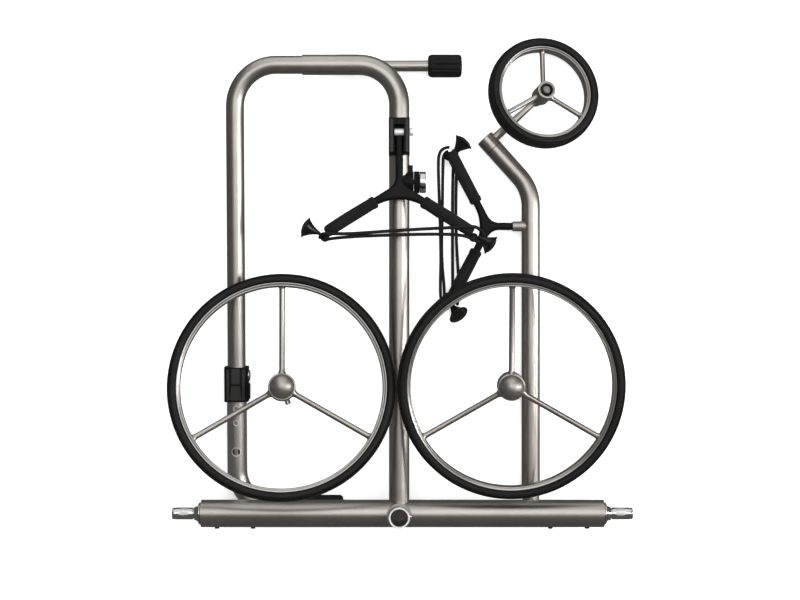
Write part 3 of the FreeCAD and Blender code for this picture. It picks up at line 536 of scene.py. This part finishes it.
UPPER_CORDS = (
    ((-105.5, 55.6, 80), (-106, 59.6, 83), (-100, 61.6, 87), (-84, 61, 88.8), (-63.8, 61.2, 89),
     (-27.5, 63.7, 88.6), (24.2, 67.1, 88.4), (66, 69, 88.8), (88, 70.8, 88), (101, 69.6, 84),
     (107.5, 60.4, 79)),
    ((-102, 54, 80), (-97.5, 53.6, 82.4), (-88, 55.4, 84.6), (-63.8, 57.4, 85.6), (-27.5, 59.1, 85.8),
     (24.2, 60.5, 86.2), (55, 60.6, 86.6), (76, 59.7, 86.6), (90, 56, 85.4), (98, 51, 82), (104, 49.6, 78)),
)
LOWER_CORDS = (
    ((64.5, 180.5, 16.2), (58, 180, 18), (50.6, 173, 19), (49.4, 156, 19.6), (51.6, 95, 20), (53.3, 35, 20),
     (52.2, -11, 19.6), (53.5, -28, 18), (61, -37.5, 15.5)),
    ((63, 175.4, 11.5), (57.2, 173.4, 12.5), (56, 158, 13.6), (55.4, 95, 14), (53.9, 35, 14),
     (58.2, -11, 13.6), (57.5, -28, 12.5), (63, -37.5, 10)),
    ((70.5, 178, 9), (71, 170, 5), (69.5, 140, 4), (69.2, 60, 4), (69.6, -11, 4.2), (69, -27, 5.5),
     (71, -35, 9)),
    ((75, 176, 9.5), (76, 168, 5.2), (74, 140, 4.4), (73.8, 60, 4.6), (78.5, -11, 4.4), (77, -25, 5.4),
     (75.5, -31, 9)),
)
for name, routes, radius in (("upper", UPPER_CORDS, 2.2), ("lower", LOWER_CORDS, 2.1)):
    label = f"{name}_cords"
    add(label, swept(routes, radius, label), elastic, f"{name}_bracket", (label,), 60.0)


# Grips, stubs and knobs ------------------------------------------------------------------------


def ribbed(count, depth, low, high):
    """A lathe reshaper that presses grooves into the stretch between two heights."""
    def shape(angle, radius, height):
        if not low <= height <= high:
            return radius
        share = min(1.0, (height - low) / 3, (high - height) / 3)
        return radius - depth * share * max(0.0, math.cos(count * angle)) ** 2
    return shape


def knurl(low, high):
    """A lathe reshaper that cuts fine straight knurling between two heights."""
    def shape(angle, radius, height):
        if not low < height < high:
            return radius
        return radius - 0.08 * (1 + math.cos(40 * angle))
    return shape


def umbrella_grip():
    """A soft grip with twelve shallow grooves and rounded ends."""
    profile = [(8.2, 0.4), (11.6, 0), (13.4, 1.0), (14.6, 2.8)]
    profile += [(15.2, 5 + k * 2.5) for k in range(15)]
    profile += [(14.8, 42.6), (13.6, 44.2), (11.4, 45.0), (6, 45.4), (0, 45.5)]
    where = place(36, 289.7, 15.6, along((1, 0, 0)))
    lathe("umbrella_arm_grip", profile, where, grip_rubber, "umbrella_arm", ("umbrella_arm_grip",), 192,
          ribbed(12, 1.5, 4, 43))


def accessory_knob():
    """A ribbed knob under a plated cap with a rolled edge and a shallow dish."""
    where = place(16.3, 130.5, 52, along((1, 0, 0)))
    knob = [(0, -4.8), (3, -4.8), (3, 0.3), (13.4, 0.3), (14.4, 1.2)]
    knob += [(14.4, 1.4 + k * 0.8) for k in range(8)] + [(13.6, 7.7), (0, 8)]
    lathe("accessory_knob", knob, where, plastic, "knob", ("accessory_knob",), 240, ribbed(24, 1.1, 1, 8),
          sharp=30.0)
    cap = [(0, 8), (13.2, 8)] + arc(13.4, 8.8, 0.7, -80, 0, 3) + arc(13.2, 15.4, 0.9, 0, 90, 5)
    cap += [(12.2, 16.3), (11.6, 15.9), (0, 15.7)]
    lathe("accessory_knob_cap", cap, where, bright, "knob", ("accessory_knob_cap",), 96, sharp=30.0)


def axle_end(sign):
    """The middle of the axle tube's end, with +Z pointing out of it."""
    return place(AXLE_X + sign * AXLE_HALF_LENGTH, AXLE_Y, AXLE_Z, along((sign, 0, 0)))


def end_caps():
    """The plug in each end of the axle tube: a thin disc, a narrow gap, and a short waisted neck. The dark
    lines beside the disc are painted shade, drawn as separate rings.
    """
    disc = [(7.95, -8), (15.2, -8), (15.2, -0.3), (13.0, 0.1), (13.0, 0.8)] + arc(13.7, 1.6, 0.6, -80, 0, 4)
    disc += arc(13.7, 2.6, 0.6, 0, 80, 4) + [(11.6, 3.3), (11.6, 3.9)]
    neck = [(10.9, 4.2), (10.0, 5.2), (9.3, 6.8), (8.8, 8.4), (8.5, 9.3), (7.95, 9.3)]
    bm = bmesh.new()
    for sign in (-1, 1):
        turned(bm, disc + neck, axle_end(sign), 96, closed=True)
    add("axle_end_caps", mesh_of(bm, "caps"), bright, "frame", ("axle_end_caps",))


def cap_shade_rings():
    """Thin dark rings on both sides of each end cap's disc: painted shade along its edges."""
    inner_shade_ring = [(12.9, 0.05), (13.9, 0.05), (13.9, 0.75), (12.9, 0.75)]
    outer_shade_ring = [(11.5, 3.35), (12.7, 3.35), (12.5, 3.9), (11.5, 3.9)]
    bm = bmesh.new()
    for sign in (-1, 1):
        turned(bm, inner_shade_ring, axle_end(sign), 64, closed=True)
        turned(bm, outer_shade_ring, axle_end(sign), 64, closed=True)
    add("axle_cap_shade_rings", mesh_of(bm, "cap_shade_rings_mesh"), dark_steel_and_shade, "frame")


def axle_stub(side, sign):
    """A plated stub: a plain root, a dark catch groove, a knurled body and a chamfered end with a lip."""
    profile = [(0, -12), (7.9, -12), (7.9, 9.4), (6.6, 9.7), (6.6, 10.9), (7.8, 11.2), (7.9, 12.2)]
    profile += [(7.9, 13 + k * 2.6) for k in range(8)]
    profile += [(7.9, 33.6), (7.9, 34.4), (7.0, 34.7), (7.0, 35.5), (7.9, 35.8), (7.7, 37.2), (6.9, 38.2)]
    profile += [(0, 38.4)]
    label = f"{side}_axle_stub"
    lathe(label, profile, axle_end(sign), bright, "frame", (label,), 160, knurl(13.5, 31), sharp=30.0)


# Handle, hinge block and seams -----------------------------------------------------------------


def handle_spot(x, down, height):
    """A place on the sloping plane of the folded handle, with its Z square to that plane."""
    plane = place(0, 285.5, 52, tip((1, 0, 0), 3.5))
    return plane @ Matrix.Translation(Vector((x, -down, height)) * MM)


def bar(length, width):
    """The outline of a bar with round ends, along Y."""
    reach, half = length / 2 - width / 2, width / 2
    angles = [k / 8 * math.pi for k in range(9)]
    top = [(half * math.cos(a), reach + half * math.sin(a)) for a in angles]
    return top + [(-x, -y) for x, y in top]


def collar_ribs():
    """Raised bands moulded on the height collar: a centre panel, a flared foot and two side bands, in a
    lighter copy of the black plastic as a painted highlight.
    """
    panel = [(-5.6, 21.5), (-5.6, 1), (5.6, 1), (5.6, 21.5)]
    foot = [(-5.6, -1.4), (-8.6, -20.5), (8.6, -20.5), (5.6, -1.4)]
    band = bar(42, 3.6)
    for label, outline, x in (("panel", panel, 0), ("foot", foot, 0), ("left_band", band, -10.4),
                              ("right_band", band, 10.4)):
        mesh = moulded(outline, 0.6, 0.1, label, handle_spot(HANDLE_X + x, 423, 15.4))
        add(f"height_collar_{label}", mesh, painted_highlight_plastic, "handle_lower")


def height_holes():
    """The catch holes of the lower tube: a fine rim in lighter steel bent to its round, a painted highlight
    on each hole's edge, and a dark disc inside, painted shade down the hole.
    """
    tube = 13.2 * MM
    for count, (down, radius) in enumerate(((454.6, 2.9), (474, 2.9), (512.8, 5.3)), 1):
        where = handle_spot(HANDLE_X, down, 0)
        # The rim is lighter steel than the tube: a painted highlight.
        edge = [(radius, 12.2), (radius + 0.05, 13.25), (radius + 0.4, 13.35), (radius + 0.7, 13.22)]
        edge += [(radius + 0.7, 12.2)]
        bm = bmesh.new()
        turned(bm, edge, Matrix.Identity(4), 48, closed=True)
        for vertex in bm.verts:
            vertex.co.z -= tube - math.sqrt(tube ** 2 - vertex.co.x ** 2)
        mesh = mesh_of(bm, "hole rim")
        mesh.transform(where)
        add(f"height_hole_highlight_rim_{count}", mesh, light_steel_and_highlight, "handle_lower")
        # A dark disc inside the tube: painted shade down the hole.
        floor = [(0, 11.2), (radius, 11.2), (radius, 11.6), (0, 11.6)]
        lathe(f"height_hole_shade_disc_{count}", floor, where, dark_steel_and_shade, "handle_lower", steps=32)


def clamp_rails():
    """Two raised rails along the top of the upper hinge block, beside its slot, in a lighter copy of the
    black plastic as a painted highlight.
    """
    for side, x in (("left", -10.1), ("right", 10.1)):
        mesh = moulded(bar(44, 4.4), 0.8, 0.1, side, place(MAIN_X + x, 188.7, 86))
        add(f"bracket_clamp_{side}_rail", mesh, painted_highlight_plastic, "frame")


def steering_collar_seam():
    """The fine weld line round the foot of the steering collar."""
    ring = [(12.2, -0.4), (12.55, -0.25), (12.6, 0), (12.55, 0.25), (12.2, 0.4)]
    seam = FRONT_TUBE_FOOT + TUBE_HEADING * (FRONT_TUBE_LENGTH - 18.6)
    where = place(seam.x, seam.y, seam.z, along(TUBE_HEADING))
    lathe("steering_collar_seam", ring, where, dark_steel_and_shade, "front_part", steps=64, closed=True)


def socket_details():
    """The rounded rim of the front tube's socket, and the turned floor that shows down its bore, in a
    darker, duller finish that paints shade there.
    """
    # The rim is lighter steel than the titanium tube: a painted highlight on a real rounded edge.
    edge = [(11.3, -2), (11.35, 0.2), (11.9, 0.8), (13.0, 0.8), (13.55, 0.2), (13.6, -2)]
    lathe("socket_rim", edge, place(MAIN_X, AXLE_Y, 94), light_steel_and_highlight, "frame", steps=96, closed=True)
    rings = [(0, 0)] + [(1.2 * k, 0.5 * (k % 2)) for k in range(1, 10)] + [(11.1, 0.4), (11.1, -1), (0, -1)]
    lathe("socket_floor", rings, place(MAIN_X, AXLE_Y, 48), bore_painted_shade, "frame", steps=72)


collar_ribs()
height_holes()
clamp_rails()
steering_collar_seam()
socket_details()
umbrella_grip()
accessory_knob()
end_caps()
cap_shade_rings()
axle_stub("left", -1)
axle_stub("right", 1)


# The other CAD nodes keep their shapes ---------------------------------------------------------

FINISHES = {
    titanium: ("axle_tube", "main_tube", "socket_tube", "handle_upper_tube", "front_tube",
               "front_spigot", "steering_collar", "umbrella_arm", "left_core", "right_core"),
    polished_painted_highlight: ("handle_lower_tube",),
    hub_metal: ("bracket_stub",),
    light_steel_and_highlight: ("upper_hinge_barrel", "hinge_pin"),
    bright: ("socket_button", "height_button", "umbrella_pivot", "left_release_pin", "right_release_pin"),
    dark_steel_and_shade: ("left_bearings", "right_bearings", "axle_screws"),
    grip_rubber: ("handle_grip",),
    plastic: ("bracket_clamp", "accessory_clamp", "umbrella_saddle", "height_collar"),
}
for material, names in FINISHES.items():
    for name in names:
        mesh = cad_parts[name].data
        mesh.materials.clear()
        mesh.materials.append(material)


# Floor, light and camera -----------------------------------------------------------------------


def stage_floor():
    size, height = 6.0, -0.0006
    bm = bmesh.new()
    corners = [bm.verts.new((x * size, y * size, height)) for x, y in ((-1, -1), (1, -1), (1, 1), (-1, 1))]
    bm.faces.new(corners)
    mesh = mesh_of(bm, "floor")
    floor = bpy.data.objects.new("floor", mesh)
    scene.collection.objects.link(floor)
    paper = bpy.data.materials.new("floor paper")
    paper.use_nodes = True
    shader = paper.node_tree.nodes["Principled BSDF"]
    shader.inputs["Base Color"].default_value = (0.93, 0.93, 0.925, 1.0)
    shader.inputs["Roughness"].default_value = 0.9
    shader.inputs["Specular IOR Level"].default_value = 0.1
    shader.inputs["Emission Color"].default_value = (1.0, 1.0, 1.0, 1.0)
    shader.inputs["Emission Strength"].default_value = 0.42
    mesh.materials.append(paper)
    floor.visible_glossy = False


def softbox(name, where, target, size, watts, tint=(1.0, 1.0, 1.0)):
    lamp = bpy.data.lights.new(name, "AREA")
    lamp.shape = "RECTANGLE"
    lamp.size, lamp.size_y = size
    lamp.energy = watts
    lamp.color = tint
    obj = bpy.data.objects.new(name, lamp)
    scene.collection.objects.link(obj)
    obj.location = where
    obj.rotation_mode = "QUATERNION"
    obj.rotation_quaternion = (Vector(target) - Vector(where)).to_track_quat("-Z", "Y")
    return obj


def studio():
    world = bpy.data.worlds.new("studio")
    scene.world = world
    world.use_nodes = True
    world.node_tree.nodes["Background"].inputs["Color"].default_value = (0.105, 0.103, 0.099, 1.0)
    world.node_tree.nodes["Background"].inputs["Strength"].default_value = 1.0
    softbox("overhead", (0.1, 0.7, 2.5), (0, 0, 0), (2.2, 2.0), 21)
    softbox("far side", (0, 2.4, 0.9), (0, 0, 0.05), (3.4, 2.6), 24)
    softbox("right strip", (2.2, 0.0, 1.25), (0, 0, 0.05), (0.4, 3.0), 36)
    fill = softbox("fill", (0, 0, 3.2), (0, 0, 0), (4.5, 4.5), 130)
    fill.visible_glossy = False


def photo_camera():
    data = bpy.data.cameras.new("camera")
    data.sensor_width = 36.0
    data.lens = 66.465
    data.clip_start, data.clip_end = 0.05, 50
    camera = bpy.data.objects.new("camera", data)
    scene.collection.objects.link(camera)
    camera.location = (-0.00325, -0.02393, 2.0)
    camera.rotation_euler = (0, 0, 0)
    scene.camera = camera


stage_floor()
studio()
photo_camera()
scene.view_settings.view_transform = "Standard"

bpy.context.view_layer.update()
